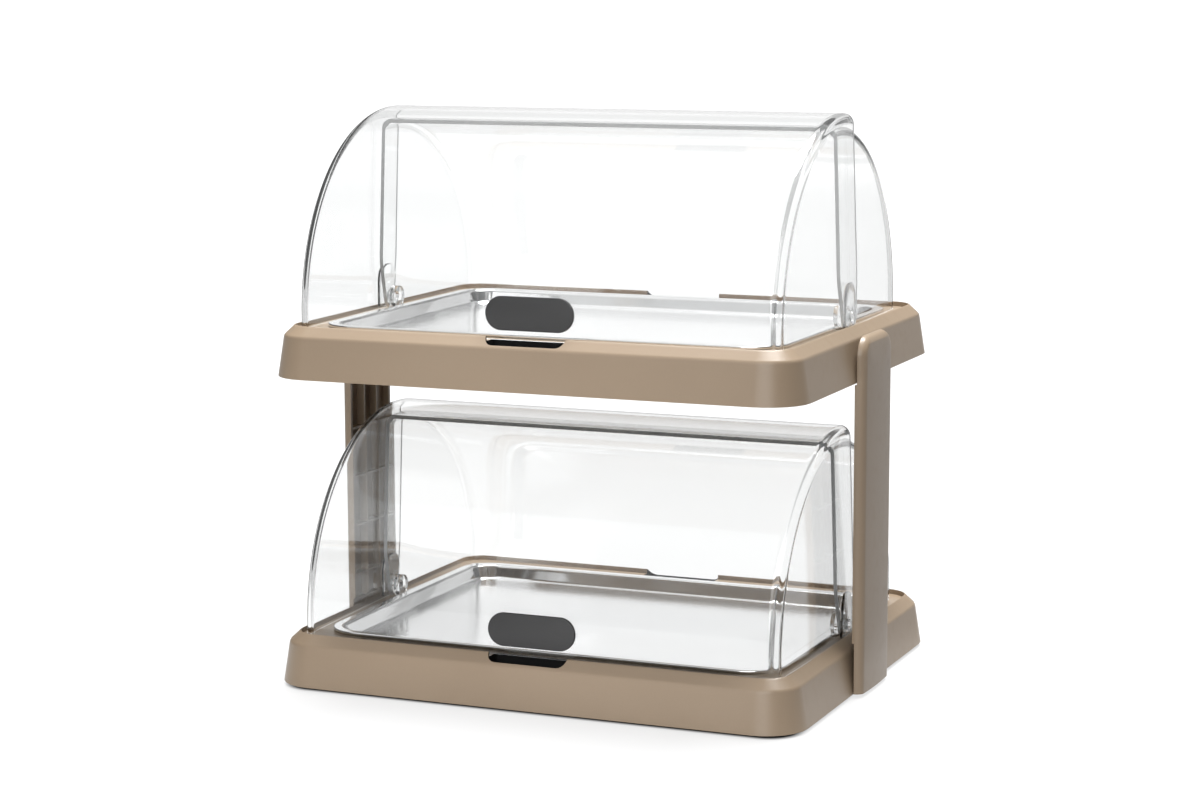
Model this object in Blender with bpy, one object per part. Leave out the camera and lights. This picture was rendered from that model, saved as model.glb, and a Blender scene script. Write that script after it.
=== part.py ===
"""Two-tier chilled roll-top display: two moulded bases on two ribbed side columns, each base with a steel
tray over cooling packs and a clear cover of two nested roll-top hoods that turn on the same pivots.
Metres, +Z up, front towards -Y, floor at z = 0, centred in x and y."""

import math

import bmesh
import bpy
from mathutils import Matrix, Vector

# Overall layout
GAP = 0.0003
FOOT_HEIGHT = 0.003
TIER_PITCH = 0.246
LOWER_Z = FOOT_HEIGHT
UPPER_Z = FOOT_HEIGHT + TIER_PITCH

# Base housing: half sizes at its bottom edge, and heights above that edge
BASE_X = 0.220
BASE_Y = 0.180
BASE_CORNER = 0.034
CORNER_STEPS = 6
SKIRT_INSET = 0.0045
SKIRT_WALL = 0.0026
SKIRT_TOP_INSET = 0.0076
CREASE_Z = 0.0318
CREASE_RADIUS = 0.0042
RIM_Z = 0.0405
RIM_INSET = 0.014
LEDGE_Z = 0.0367
LEDGE_WALL = 0.0025
WELL_X = 0.184
WELL_Y = 0.140
WELL_CORNER = 0.016
WELL_WALL = 0.0022
WELL_DRAFT = 0.0015
WELL_FOOT_Z = 0.0036

# Finger recesses in the middle of the front and rear rims
RECESS_X = 0.033
RECESS_OUTER_Y = 0.173
FRONT_RECESS_INNER_Y = 0.152
REAR_RECESS_INNER_Y = 0.146
RECESS_FLOOR_Z = 0.020
RECESS_WALL = 0.002

# Bottom plate, its screw posts and the feet
PLATE_X = 0.2166
PLATE_Y = 0.1766
PLATE_CORNER = 0.0306
PLATE_Z = 0.0008
PLATE_THICK = 0.0024
POST_X = 0.201
POST_Y = 0.150
POST_RADIUS = 0.0045
FOOT_X = 0.170
FOOT_Y = 0.130
FOOT_RADIUS = 0.011
FOOT_PEG_RADIUS = 0.0027

# Steel tray
TRAY_X = 0.1888
TRAY_Y = 0.1438
TRAY_CORNER = 0.0272
TRAY_RIM = 0.0072
TRAY_DEPTH = 0.0105
TRAY_TOP_Z = 0.0382
TRAY_SHEET = 0.0010

# Cooling packs
PACK_X = 0.088
PACK_Y = 0.134
PACK_PITCH = 0.182
PACK_HEIGHT = 0.0195
PACK_CORNER = 0.016
PACK_EDGE = 0.003
PACK_PANEL_INSET = 0.014

# Roll-top hoods, shells of revolution about the pivot line
PIVOT_Z = 0.047
HOOD_FOOT_Z = 0.037
HOOD_WALL = 0.003
HOOD_TAPER = 0.035
HOOD_STEPS = 48
HOOD_CORNER_STEPS = 3
FRONT_RADIUS = 0.1583
FRONT_HALF_WIDTH = 0.2052
FRONT_CORNER = 0.009
FRONT_OVERLAP = 0.0138
REAR_RADIUS = 0.1480
REAR_HALF_WIDTH = 0.1997
REAR_CORNER = 0.008
REAR_OVERLAP = 0.0180
CUT_BACK_Z = 0.029
CUT_BACK_ROUND = 0.014
PIVOT_HOLE = 0.0043

# Arched pads inside the front hood's end walls, round its pivot holes
PAD_THICK = 0.0013
PAD_FRONT_Y = 0.0165
PAD_REAR_Y = 0.0085
PAD_FOOT_Z = 0.0085
PAD_TOP_Z = 0.027
PAD_ROUND = 0.0082

# Pivot posts
PIN_RADIUS = 0.0040
PIN_END_X = 0.2050
KNOB_RADIUS = 0.0085
KNOB_INNER_X = 0.1896
KNOB_OUTER_X = 0.1960
TONGUE_X = 0.192
TONGUE_THICK = 0.003
TONGUE_WIDTH = 0.010
TONGUE_FOOT_Z = 0.030

# Pill-shaped grip plates on the front hoods
GRIP_LENGTH = 0.073
GRIP_HEIGHT = 0.026
GRIP_THICK = 0.0026
GRIP_Z = 0.0576

# Side columns
COLUMN_HALF_WIDTH = 0.036
COLUMN_INNER_X = 0.2187
COLUMN_BASE_X = 0.2204
COLUMN_OUTER_X = 0.228
COLUMN_EDGE = 0.0045
COLUMN_TOP_Z = UPPER_Z + 0.0355
COLUMN_TOP_CORNER = 0.016
COLUMN_WALL = 0.0026
COLUMN_FLANGE = 0.003
RIB_WALL = 0.0018
RIB_Y = 0.011
RIB_PITCH_Z = 0.0414
RIB_FIRST_Z = 0.0625
RIB_COUNT = 5
SCREW_PAD_HALF_WIDTH = 0.0095

# Screws
COLUMN_SCREW_HEIGHTS = (0.011, 0.024)
SCREW_RADIUS = 0.0017
SCREW_HEAD_RADIUS = 0.0035
SCREW_HEAD_HEIGHT = 0.0022


def clear_scene():
    for obj in list(bpy.data.objects):
        bpy.data.objects.remove(obj, do_unlink=True)


def material(name, colour, metallic=0.0, roughness=0.5, transmission=0.0):
    mat = bpy.data.materials.new(name)
    mat.use_nodes = True
    shader = mat.node_tree.nodes["Principled BSDF"]
    shader.inputs["Base Color"].default_value = (*colour, 1.0)
    shader.inputs["Metallic"].default_value = metallic
    shader.inputs["Roughness"].default_value = roughness
    shader.inputs["Transmission Weight"].default_value = transmission
    return mat


def new_object(name, bm, mat, origin=(0.0, 0.0, 0.0), smooth=35.0):
    """Mesh object from a bmesh in world space, with its origin moved to the given point."""
    bmesh.ops.recalc_face_normals(bm, faces=bm.faces)
    bmesh.ops.translate(bm, verts=bm.verts, vec=-Vector(origin))
    mesh = bpy.data.meshes.new(name)
    bm.to_mesh(mesh)
    bm.free()
    mesh.shade_smooth()
    mesh.set_sharp_from_angle(angle=math.radians(smooth))
    obj = bpy.data.objects.new(name, mesh)
    obj.location = origin
    bpy.context.scene.collection.objects.link(obj)
    if mat is not None:
        mesh.materials.append(mat)
    return obj


def helper(name, bm):
    obj = new_object(name, bm, None)
    obj.hide_render = True
    obj.display_type = "WIRE"
    return obj


def boolean(obj, operation, *tools):
    for tool in tools:
        modifier = obj.modifiers.new(tool.name, "BOOLEAN")
        modifier.operation = operation
        modifier.solver = "EXACT"
        modifier.object = tool


def bake(obj, *tools):
    """Applies the modifiers and removes the helpers they used."""
    graph = bpy.context.evaluated_depsgraph_get()
    mesh = bpy.data.meshes.new_from_object(obj.evaluated_get(graph))
    mesh.name = obj.name
    obj.modifiers.clear()
    obj.data = mesh
    for tool in tools:
        bpy.data.objects.remove(tool, do_unlink=True)


def round_corners(corners, steps):
    """Outline points of a polygon given as (x, y, radius) corners."""
    outline = []
    count = len(corners)
    for i, (x, y, radius) in enumerate(corners):
        if radius <= 0.0:
            outline.append((x, y))
            continue
        here = Vector((x, y))
        back = (Vector(corners[i - 1][:2]) - here).normalized()
        ahead = (Vector(corners[(i + 1) % count][:2]) - here).normalized()
        half = back.angle(ahead) / 2.0
        centre = here + (back + ahead).normalized() * (radius / math.sin(half))
        reach = radius / math.tan(half)
        first = here + back * reach - centre
        last = here + ahead * reach - centre
        turn = first.angle_signed(last)
        for step in range(steps + 1):
            spoke = first.copy()
            spoke.rotate(Matrix.Rotation(-turn * step / steps, 2))
            outline.append(tuple(centre + spoke))
    return outline


def rectangle(half_x, half_y, radius, steps=CORNER_STEPS):
    signs = ((1, 1), (-1, 1), (-1, -1), (1, -1))
    return round_corners([(half_x * x, half_y * y, radius) for x, y in signs], steps)


def skin(bm, loops, closed):
    """Quads between successive vertex loops; a closed skin joins the last loop to the first."""
    count = len(loops[0])
    pairs = list(zip(loops, loops[1:]))
    if closed:
        pairs.append((loops[-1], loops[0]))
    for low, high in pairs:
        for i in range(count):
            j = (i + 1) % count
            bm.faces.new((low[i], low[j], high[j], high[i]))
    if not closed:
        bm.faces.new(loops[0])
        bm.faces.new(loops[-1])


def stack(rings, base_z, closed=False, centre_x=0.0, steps=CORNER_STEPS):
    """Loft through level rounded rectangles given as (half x, half y, corner radius, height)."""
    bm = bmesh.new()
    loops = []
    for half_x, half_y, radius, z in rings:
        points = rectangle(half_x, half_y, radius, steps)
        loops.append([bm.verts.new((centre_x + x, y, base_z + z)) for x, y in points])
    skin(bm, loops, closed)
    return bm


def prism(outline, low, high, plane="XY"):
    """Outline extruded along the axis that its plane leaves out."""
    bm = bmesh.new()
    if plane == "XY":
        loops = [[bm.verts.new((a, b, c)) for a, b in outline] for c in (low, high)]
    elif plane == "YZ":
        loops = [[bm.verts.new((c, a, b)) for a, b in outline] for c in (low, high)]
    else:
        loops = [[bm.verts.new((a, c, b)) for a, b in outline] for c in (low, high)]
    skin(bm, loops, closed=False)
    return bm


def revolve(profile, axis, steps):
    """Solid of revolution of (distance along the axis, radius) points about the X or Z axis."""
    bm = bmesh.new()
    if axis == "X":
        points = [bm.verts.new((along, 0.0, radius)) for along, radius in profile]
        direction = (1.0, 0.0, 0.0)
    else:
        points = [bm.verts.new((radius, 0.0, along)) for along, radius in profile]
        direction = (0.0, 0.0, 1.0)
    edges = [bm.edges.new(pair) for pair in zip(points, points[1:])]
    bmesh.ops.spin(bm, geom=points + edges, cent=(0.0, 0.0, 0.0), axis=direction,
                   angle=2.0 * math.pi, steps=steps, use_merge=True)
    bmesh.ops.remove_doubles(bm, verts=bm.verts, dist=0.00001)
    return bm


def cylinder(bm, radius, start, end, steps):
    """Adds a closed cylinder between two points on a line parallel to an axis."""
    start, end = Vector(start), Vector(end)
    turn = Vector((0.0, 0.0, 1.0)).rotation_difference(end - start).to_matrix().to_4x4()
    matrix = Matrix.Translation((start + end) / 2.0) @ turn
    bmesh.ops.create_cone(bm, cap_ends=True, segments=steps, radius1=radius, radius2=radius,
                          depth=(end - start).length, matrix=matrix)


def box(bm, low, high):
    low, high = Vector(low), Vector(high)
    matrix = Matrix.Translation((low + high) / 2.0) @ Matrix.Diagonal((*(high - low), 1.0))
    bmesh.ops.create_cube(bm, size=1.0, matrix=matrix)


def ring_at(inset, z):
    """Ring of the base's outer surface, its corners concentric with the bottom edge's."""
    return (BASE_X - inset, BASE_Y - inset, BASE_CORNER - inset, z)


def well_ring(outset, z):
    return (WELL_X + outset, WELL_Y + outset, WELL_CORNER + outset, z)


def outer_rings():
    """The housing's outside: drafted skirt, soft crease, sloping rim and the wall down to the ledge."""
    slope = math.atan2(RIM_Z - CREASE_Z, RIM_INSET - SKIRT_INSET)
    rings = [ring_at(0.0, 0.0), ring_at(SKIRT_INSET, CREASE_Z - 0.0030)]
    for part in (0.0, 0.35, 0.7, 1.0):
        angle = part * (math.pi / 2.0 - slope)
        inset = SKIRT_INSET + 0.0003 + CREASE_RADIUS * (1.0 - math.cos(angle))
        rings.append(ring_at(inset, CREASE_Z - 0.0012 + CREASE_RADIUS * math.sin(angle)))
    rings += [ring_at(RIM_INSET - 0.0016, RIM_Z - 0.0011), ring_at(RIM_INSET - 0.0009, RIM_Z - 0.0003),
              ring_at(RIM_INSET, RIM_Z), ring_at(RIM_INSET + 0.0003, RIM_Z - 0.0005),
              ring_at(RIM_INSET + 0.0004, LEDGE_Z)]
    return rings


def housing_rings():
    """Closed cross-section: outside, ledge and well wall, then back under the ledge and down the skirt."""
    return outer_rings() + [
        well_ring(0.0005, LEDGE_Z),
        well_ring(0.0, LEDGE_Z - 0.0005),
        well_ring(-WELL_DRAFT, WELL_FOOT_Z),
        well_ring(WELL_WALL - WELL_DRAFT, WELL_FOOT_Z),
        well_ring(WELL_WALL, LEDGE_Z - LEDGE_WALL),
        ring_at(0.0118, LEDGE_Z - LEDGE_WALL),
        ring_at(SKIRT_TOP_INSET, CREASE_Z - 0.0020),
        ring_at(SKIRT_WALL, 0.0),
    ]


def skirt_inside(z):
    """Half width of the hollow behind the drafted skirt, at a height above the base's bottom edge."""
    return BASE_X - SKIRT_WALL - (SKIRT_TOP_INSET - SKIRT_WALL) * z / (CREASE_Z - 0.0020)


def recess_parts(side, inner_y, base_z):
    """Walls and hollow of one finger recess; side is -1 at the front and 1 at the rear."""
    near = inner_y - RECESS_WALL
    foot = RECESS_FLOOR_Z - RECESS_WALL
    profile = [(0.175, foot), (0.175, 0.029), (0.168, 0.0358), (near, 0.0358), (near, foot)]
    outline = [(side * y, base_z + z) for y, z in profile]
    walls = helper("recess_walls", prism(outline, -RECESS_X - RECESS_WALL, RECESS_X + RECESS_WALL, "YZ"))
    corners = [(RECESS_X, side * RECESS_OUTER_Y, 0.007), (-RECESS_X, side * RECESS_OUTER_Y, 0.007),
               (-RECESS_X, side * inner_y, 0.003), (RECESS_X, side * inner_y, 0.003)]
    hollow = prism(round_corners(corners, 5), base_z + RECESS_FLOOR_Z, base_z + 0.050)
    return walls, helper("recess_hollow", hollow)


def make_housing(name, base_z, mat):
    obj = new_object(name, stack(housing_rings(), base_z, closed=True), mat, smooth=28.0)
    posts = bmesh.new()
    holes = bmesh.new()
    for side in (-1, 1):
        x = side * POST_X
        for y in (-POST_Y, POST_Y):
            cylinder(posts, POST_RADIUS, (x, y, base_z + WELL_FOOT_Z), (x, y, base_z + LEDGE_Z - 0.001), 16)
            cylinder(holes, SCREW_RADIUS + GAP, (x, y, base_z - 0.002), (x, y, base_z + 0.016), 12)
        for z in COLUMN_SCREW_HEIGHTS:
            start, end = (side * 0.205, 0.0, base_z + z), (side * 0.230, 0.0, base_z + z)
            cylinder(holes, SCREW_RADIUS + GAP, start, end, 12)
        half_x = TONGUE_THICK / 2.0 + GAP
        half_y = TONGUE_WIDTH / 2.0 + GAP
        box(holes, (side * TONGUE_X - half_x, -half_y, base_z + 0.025),
            (side * TONGUE_X + half_x, half_y, base_z + 0.045))
    posts, holes = helper("posts", posts), helper("holes", holes)
    front_walls, front_hollow = recess_parts(-1, FRONT_RECESS_INNER_Y, base_z)
    rear_walls, rear_hollow = recess_parts(1, REAR_RECESS_INNER_Y, base_z)
    boolean(obj, "UNION", posts, front_walls, rear_walls)
    boolean(obj, "DIFFERENCE", holes, front_hollow, rear_hollow)
    bake(obj, posts, front_walls, rear_walls, holes, front_hollow, rear_hollow)


def make_plate(name, base_z, mat, with_feet):
    top = PLATE_Z + PLATE_THICK
    rings = [(PLATE_X - 0.0006, PLATE_Y - 0.0006, PLATE_CORNER - 0.0006, PLATE_Z),
             (PLATE_X, PLATE_Y, PLATE_CORNER, PLATE_Z + 0.0006),
             (PLATE_X - 0.0004, PLATE_Y - 0.0004, PLATE_CORNER - 0.0004, top)]
    obj = new_object(name, stack(rings, base_z), mat)
    low, high = base_z - 0.001, base_z + 0.006
    holes = bmesh.new()
    for x in (-1, 1):
        for y in (-1, 1):
            place = (x * POST_X, y * POST_Y)
            cylinder(holes, SCREW_RADIUS + GAP, (*place, low), (*place, high), 12)
            if with_feet:
                place = (x * FOOT_X, y * FOOT_Y)
                cylinder(holes, FOOT_PEG_RADIUS + GAP, (*place, low), (*place, high), 16)
    holes = helper("plate_holes", holes)
    boolean(obj, "DIFFERENCE", holes)
    bake(obj, holes)


def sheet_profile(corners, thick, steps):
    """Both faces of a bent sheet whose middle line runs through the given (x, y, radius) corners."""
    middle = [Vector(point) for point in round_corners(corners, steps)]
    across = []
    for i, point in enumerate(middle):
        along = (middle[min(i + 1, len(middle) - 1)] - middle[max(i - 1, 0)]).normalized()
        across.append(Vector((-along.y, along.x)) * thick / 2.0)
    upper = [point - offset for point, offset in zip(middle, across)]
    lower = [point + offset for point, offset in zip(middle, across)]
    return upper + lower[::-1]


def make_tray(name, base_z, mat):
    """Pressed sheet: flat pan, sloping wall and a level rim with a turned-down lip."""
    floor = -TRAY_DEPTH - TRAY_SHEET / 2.0
    rim = -TRAY_SHEET / 2.0
    lip = -TRAY_SHEET / 2.0
    middle = [(-TRAY_RIM - 0.0120, floor, 0.0), (-TRAY_RIM - 0.0054, floor, 0.0040),
              (-TRAY_RIM - 0.0004, rim, 0.0014), (lip, rim, 0.0006), (lip, rim - 0.0007, 0.0)]
    rings = []
    for x, z in sheet_profile(middle, TRAY_SHEET, 3):
        rings.append((TRAY_X + x, TRAY_Y + x, TRAY_CORNER + x, TRAY_TOP_Z + z))
    origin = (0.0, 0.0, base_z + TRAY_TOP_Z + floor)
    new_object(name, stack(rings, base_z), mat, origin=origin, smooth=50.0)


def make_pack(name, base_z, side, mat):
    """Sealed flat bottle with rounded edges and a shallow panel in each large face."""
    low = PLATE_Z + PLATE_THICK + GAP
    high = low + PACK_HEIGHT
    half = [(PACK_PANEL_INSET + 0.002, 0.001), (PACK_PANEL_INSET, 0.0), (PACK_EDGE, 0.0), (0.0, PACK_EDGE)]
    steps = [(inset, low + rise) for inset, rise in half]
    steps += [(inset, high - rise) for inset, rise in reversed(half)]
    rings = [(PACK_X - inset, PACK_Y - inset, max(PACK_CORNER - inset, 0.006), z) for inset, z in steps]
    new_object(name, stack(rings, base_z, centre_x=side * PACK_PITCH / 2.0, steps=2), mat)


def barrel(half_width, radius, corner, pivot_z):
    """Closed body of revolution about the pivot line: coned ends, rounded shoulders and a straight drum."""
    end = half_width - HOOD_TAPER * (radius - corner)
    profile = [(half_width, 0.0), (end, radius - corner)]
    for step in range(1, HOOD_CORNER_STEPS + 1):
        angle = math.pi / 2.0 * step / HOOD_CORNER_STEPS
        along = end - corner * (1.0 - math.cos(angle))
        profile.append((along, radius - corner * (1.0 - math.sin(angle))))
    profile += [(-along, out) for along, out in reversed(profile)]
    bm = revolve(profile, "X", HOOD_STEPS)
    bmesh.ops.translate(bm, verts=bm.verts, vec=(0.0, 0.0, pivot_z))
    return bm


def hood_outline(side, overlap, pivot_z):
    """Side view of a hood: level foot, round pivot boss, cut-back edge and upright edge past the middle."""
    boss = PIVOT_Z - HOOD_FOOT_Z
    reach = math.sqrt(overlap ** 2 + CUT_BACK_Z ** 2 - boss ** 2)
    heel = boss * (reach - overlap) / (CUT_BACK_Z - boss)
    far = FRONT_RADIUS + 0.02
    corners = [(-far, -boss, 0.0), (heel, -boss, boss * 0.999), (overlap, CUT_BACK_Z, CUT_BACK_ROUND),
               (overlap, far, 0.0), (-far, far, 0.0)]
    return [(-side * y, pivot_z + z) for y, z in round_corners(corners, 8)]


def make_pads(half_width, radius, corner, pivot_z):
    """Arched thickening inside both end walls of the front hood, cut to the walls' cone."""
    arch = PAD_ROUND * 1.5
    corners = [(-PAD_FRONT_Y, -PAD_FOOT_Z, 0.002), (PAD_REAR_Y, -PAD_FOOT_Z, PAD_ROUND),
               (PAD_REAR_Y + 0.004, PAD_TOP_Z, arch), (-PAD_FRONT_Y, PAD_TOP_Z, arch)]
    outline = [(y, pivot_z + z) for y, z in round_corners(corners, 5)]
    pads = helper("pads", prism(outline, -half_width - 0.02, half_width + 0.02, "YZ"))
    wall_inside = half_width - HOOD_WALL
    shell = helper("pad_shell", barrel(wall_inside + 0.0010, radius, corner, pivot_z))
    core = helper("pad_core", barrel(wall_inside - PAD_THICK, radius - 0.01, corner, pivot_z))
    boolean(pads, "INTERSECT", shell)
    boolean(pads, "DIFFERENCE", core)
    bake(pads, shell, core)
    return pads


def make_hood(name, base_z, side, size, mat):
    """side is -1 for the front hood and 1 for the rear; size is (half width, radius, corner, overlap)."""
    half_width, radius, corner, overlap = size
    pivot_z = base_z + PIVOT_Z
    drum = barrel(half_width, radius, corner, pivot_z)
    obj = new_object(name, drum, mat, origin=(0.0, 0.0, pivot_z), smooth=20.0)
    core = helper("core", barrel(half_width - HOOD_WALL, radius - HOOD_WALL, corner - HOOD_WALL, pivot_z))
    cover = helper("cover", prism(hood_outline(side, overlap, pivot_z), -0.25, 0.25, "YZ"))
    hole = bmesh.new()
    cylinder(hole, PIVOT_HOLE, (-0.25, 0.0, pivot_z), (0.25, 0.0, pivot_z), 16)
    hole = helper("hole", hole)
    tools = [core, cover, hole]
    boolean(obj, "DIFFERENCE", core)
    boolean(obj, "INTERSECT", cover)
    if side < 0:
        pads = make_pads(half_width, radius, corner, pivot_z)
        tools.append(pads)
        boolean(obj, "UNION", pads)
    boolean(obj, "DIFFERENCE", hole)
    bake(obj, *tools)
    return obj


def make_pivot_post(name, base_z, side, mat):
    """Round knob on a tongue that plugs into the ledge, with the pin that carries both hoods."""
    pivot_z = base_z + PIVOT_Z
    knob = bmesh.new()
    start, end = (side * KNOB_INNER_X, 0.0, pivot_z), (side * KNOB_OUTER_X, 0.0, pivot_z)
    cylinder(knob, KNOB_RADIUS, start, end, 24)
    obj = new_object(name, knob, mat)
    pin = bmesh.new()
    start = (side * (KNOB_OUTER_X - 0.002), 0.0, pivot_z)
    cylinder(pin, PIN_RADIUS, start, (side * PIN_END_X, 0.0, pivot_z), 16)
    foot = bmesh.new()
    box(foot, (side * TONGUE_X - 0.0018, -0.0075, base_z + LEDGE_Z + GAP),
        (side * TONGUE_X + 0.0020, 0.0075, pivot_z - 0.001))
    tongue = bmesh.new()
    box(tongue, (side * TONGUE_X - TONGUE_THICK / 2.0, -TONGUE_WIDTH / 2.0, base_z + TONGUE_FOOT_Z),
        (side * TONGUE_X + TONGUE_THICK / 2.0, TONGUE_WIDTH / 2.0, pivot_z - 0.002))
    tools = [helper("foot", foot), helper("pin", pin), helper("tongue", tongue)]
    boolean(obj, "UNION", *tools)
    bake(obj, *tools)


def make_grip_plate(name, base_z, hood, mat):
    """Bare pill-shaped plate curved to the front hood's outer face; it moves with the hood."""
    pivot_z = base_z + PIVOT_Z
    half_x, half_z = GRIP_LENGTH / 2.0, GRIP_HEIGHT / 2.0
    outline = [(x, base_z + GRIP_Z + z) for x, z in rectangle(half_x, half_z, half_z * 0.999, 8)]
    obj = new_object(name, prism(outline, -0.20, -0.12, "XZ"), mat, smooth=30.0)
    shell = helper("shell", barrel(0.15, FRONT_RADIUS + GAP + GRIP_THICK, 0.01, pivot_z))
    core = helper("core", barrel(0.16, FRONT_RADIUS + GAP, 0.01, pivot_z))
    boolean(obj, "INTERSECT", shell)
    boolean(obj, "DIFFERENCE", core)
    bake(obj, shell, core)
    bpy.context.view_layer.update()
    obj.parent = hood
    obj.matrix_parent_inverse = hood.matrix_world.inverted()


def column_outline(inset):
    top = COLUMN_TOP_Z - inset
    half = COLUMN_HALF_WIDTH - inset
    corner = COLUMN_TOP_CORNER - inset
    corners = [(half, top, corner), (-half, top, corner), (-half, LOWER_Z, 0.0), (half, LOWER_Z, 0.0)]
    return round_corners(corners, 8)


def column_shell(side):
    """Solid strip with a flat back, rounded outer edges and round top corners."""
    stations = [(0.0, COLUMN_INNER_X), (0.0, COLUMN_OUTER_X - COLUMN_EDGE)]
    for degrees in (25.0, 45.0, 65.0, 90.0):
        turn = math.radians(degrees)
        x = COLUMN_OUTER_X - COLUMN_EDGE * (1.0 - math.sin(turn))
        stations.append((COLUMN_EDGE * (1.0 - math.cos(turn)), x))
    bm = bmesh.new()
    loops = []
    for inset, x in stations:
        loops.append([bm.verts.new((side * x, y, z)) for y, z in column_outline(inset)])
    skin(bm, loops, closed=False)
    return bm


def column_cells(side):
    """Hollows between the upright and level ribs; the middle column stays solid behind the screws."""
    levels = [LOWER_Z + 0.002, LOWER_Z + CREASE_Z + 0.006]
    levels += [RIB_FIRST_Z + RIB_PITCH_Z * i for i in range(RIB_COUNT)]
    levels += [UPPER_Z, COLUMN_TOP_Z - COLUMN_FLANGE]
    inside = COLUMN_HALF_WIDTH - COLUMN_FLANGE
    half_rib = RIB_WALL / 2.0
    widths = [(-inside, -RIB_Y - half_rib), (-RIB_Y + half_rib, RIB_Y - half_rib), (RIB_Y + half_rib, inside)]
    last = len(levels) - 2
    cells = bmesh.new()
    for row, (low, high) in enumerate(zip(levels, levels[1:])):
        for place, (left, right) in enumerate(widths):
            if row in (0, last) and place == 1:
                continue
            corner = COLUMN_TOP_CORNER - COLUMN_FLANGE if row == last else 0.0
            outline = round_corners([(right, high - half_rib, corner if place == 2 else 0.0),
                                     (left, high - half_rib, corner if place == 0 else 0.0),
                                     (left, low + half_rib, 0.0), (right, low + half_rib, 0.0)], 6)
            cell = prism(outline, side * 0.200, side * (COLUMN_OUTER_X - COLUMN_WALL), "YZ")
            mesh = bpy.data.meshes.new("cell")
            cell.to_mesh(mesh)
            cell.free()
            cells.from_mesh(mesh)
            bpy.data.meshes.remove(mesh)
    return cells


def make_column(name, side, mat):
    """Channel moulding, smooth outside and ribbed inside, shaped to fit against both bases."""
    obj = new_object(name, column_shell(side), mat, smooth=30.0)
    trims = bmesh.new()
    pads = bmesh.new()
    holes = bmesh.new()
    envelopes = []
    for base_z in (LOWER_Z, UPPER_Z):
        box(trims, (side * 0.200, -0.05, base_z - 0.0015), (side * COLUMN_BASE_X, 0.05, base_z + RIM_Z))
        box(pads, (side * 0.212, -SCREW_PAD_HALF_WIDTH, base_z + 0.005),
            (side * (COLUMN_OUTER_X - 0.001), SCREW_PAD_HALF_WIDTH, base_z + 0.030))
        for z in COLUMN_SCREW_HEIGHTS:
            start, end = (side * 0.205, 0.0, base_z + z), (side * 0.2262, 0.0, base_z + z)
            cylinder(holes, SCREW_RADIUS + GAP, start, end, 12)
        clearance = GAP * 1.2
        rings = [(x + clearance, y + clearance, corner, z) for x, y, corner, z in outer_rings()]
        envelopes.append(helper("envelope", stack(rings, base_z)))
    trims, pads, holes = helper("trims", trims), helper("pads", pads), helper("pilots", holes)
    cells = helper("cells", column_cells(side))
    boolean(obj, "DIFFERENCE", trims, cells)
    boolean(obj, "UNION", pads)
    boolean(obj, "DIFFERENCE", *envelopes, holes)
    bake(obj, trims, cells, pads, holes, *envelopes)


def make_screw(name, head, tip, mat):
    """Pan-head screw whose head starts at one point and whose shank ends at the other."""
    head, tip = Vector(head), Vector(tip)
    turn = Vector((0.0, 0.0, 1.0)).rotation_difference(tip - head).to_matrix().to_4x4()
    length = (tip - head).length
    profile = [(0.0, 0.0), (0.0, 0.0016), (0.0006, SCREW_HEAD_RADIUS - 0.0004), (0.0013, SCREW_HEAD_RADIUS),
               (SCREW_HEAD_HEIGHT, SCREW_HEAD_RADIUS), (SCREW_HEAD_HEIGHT, SCREW_RADIUS),
               (length - 0.0015, SCREW_RADIUS), (length, 0.0004), (length, 0.0)]
    bm = revolve(profile, "Z", 8)
    bmesh.ops.transform(bm, verts=bm.verts, matrix=Matrix.Translation(head) @ turn)
    new_object(name, bm, mat)


def make_foot(name, x, y, mat):
    """Round rubber foot with a peg that plugs into the lower bottom plate."""
    top = LOWER_Z + PLATE_Z - GAP
    profile = [(0.0, 0.0), (0.0, FOOT_RADIUS - 0.0016), (0.0005, FOOT_RADIUS - 0.0004),
               (top - 0.0006, FOOT_RADIUS), (top, FOOT_RADIUS - 0.0005), (top, FOOT_PEG_RADIUS),
               (top + 0.0024, FOOT_PEG_RADIUS), (top + 0.0024, 0.0)]
    bm = revolve(profile, "Z", 20)
    bmesh.ops.translate(bm, verts=bm.verts, vec=(x, y, 0.0))
    new_object(name, bm, mat)


def make_screws(label, base_z, mat):
    for word, side in (("left", -1), ("right", 1)):
        for place, y in (("front", -POST_Y), ("rear", POST_Y)):
            head = (side * POST_X, y, base_z - 0.0016)
            make_screw(f"{label}_{place}_{word}_plate_screw", head, (side * POST_X, y, base_z + 0.014), mat)
        for place, z in zip(("low", "high"), COLUMN_SCREW_HEIGHTS):
            head_x = skirt_inside(z + SCREW_HEAD_RADIUS) - GAP - SCREW_HEAD_HEIGHT
            head = (side * head_x, 0.0, base_z + z)
            make_screw(f"{label}_{word}_{place}_column_screw", head, (side * 0.2255, 0.0, base_z + z), mat)


def make_tier(label, base_z, mats):
    make_housing(label + "_base_housing", base_z, mats["taupe"])
    make_plate(label + "_bottom_plate", base_z, mats["taupe"], with_feet=label == "lower")
    make_tray(label + "_steel_tray", base_z, mats["steel"])
    for word, side in (("left", -1), ("right", 1)):
        make_pack(f"{label}_{word}_cooling_pack", base_z, side, mats["pack"])
        make_pivot_post(f"{label}_{word}_pivot_post", base_z, side, mats["clear"])
    make_screws(label, base_z, mats["zinc"])
    front_size = (FRONT_HALF_WIDTH, FRONT_RADIUS, FRONT_CORNER, FRONT_OVERLAP)
    rear_size = (REAR_HALF_WIDTH, REAR_RADIUS, REAR_CORNER, REAR_OVERLAP)
    front = make_hood(label + "_front_hood", base_z, -1, front_size, mats["clear"])
    make_hood(label + "_rear_hood", base_z, 1, rear_size, mats["clear"])
    make_grip_plate(label + "_grip_plate", base_z, front, mats["dark"])


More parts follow.
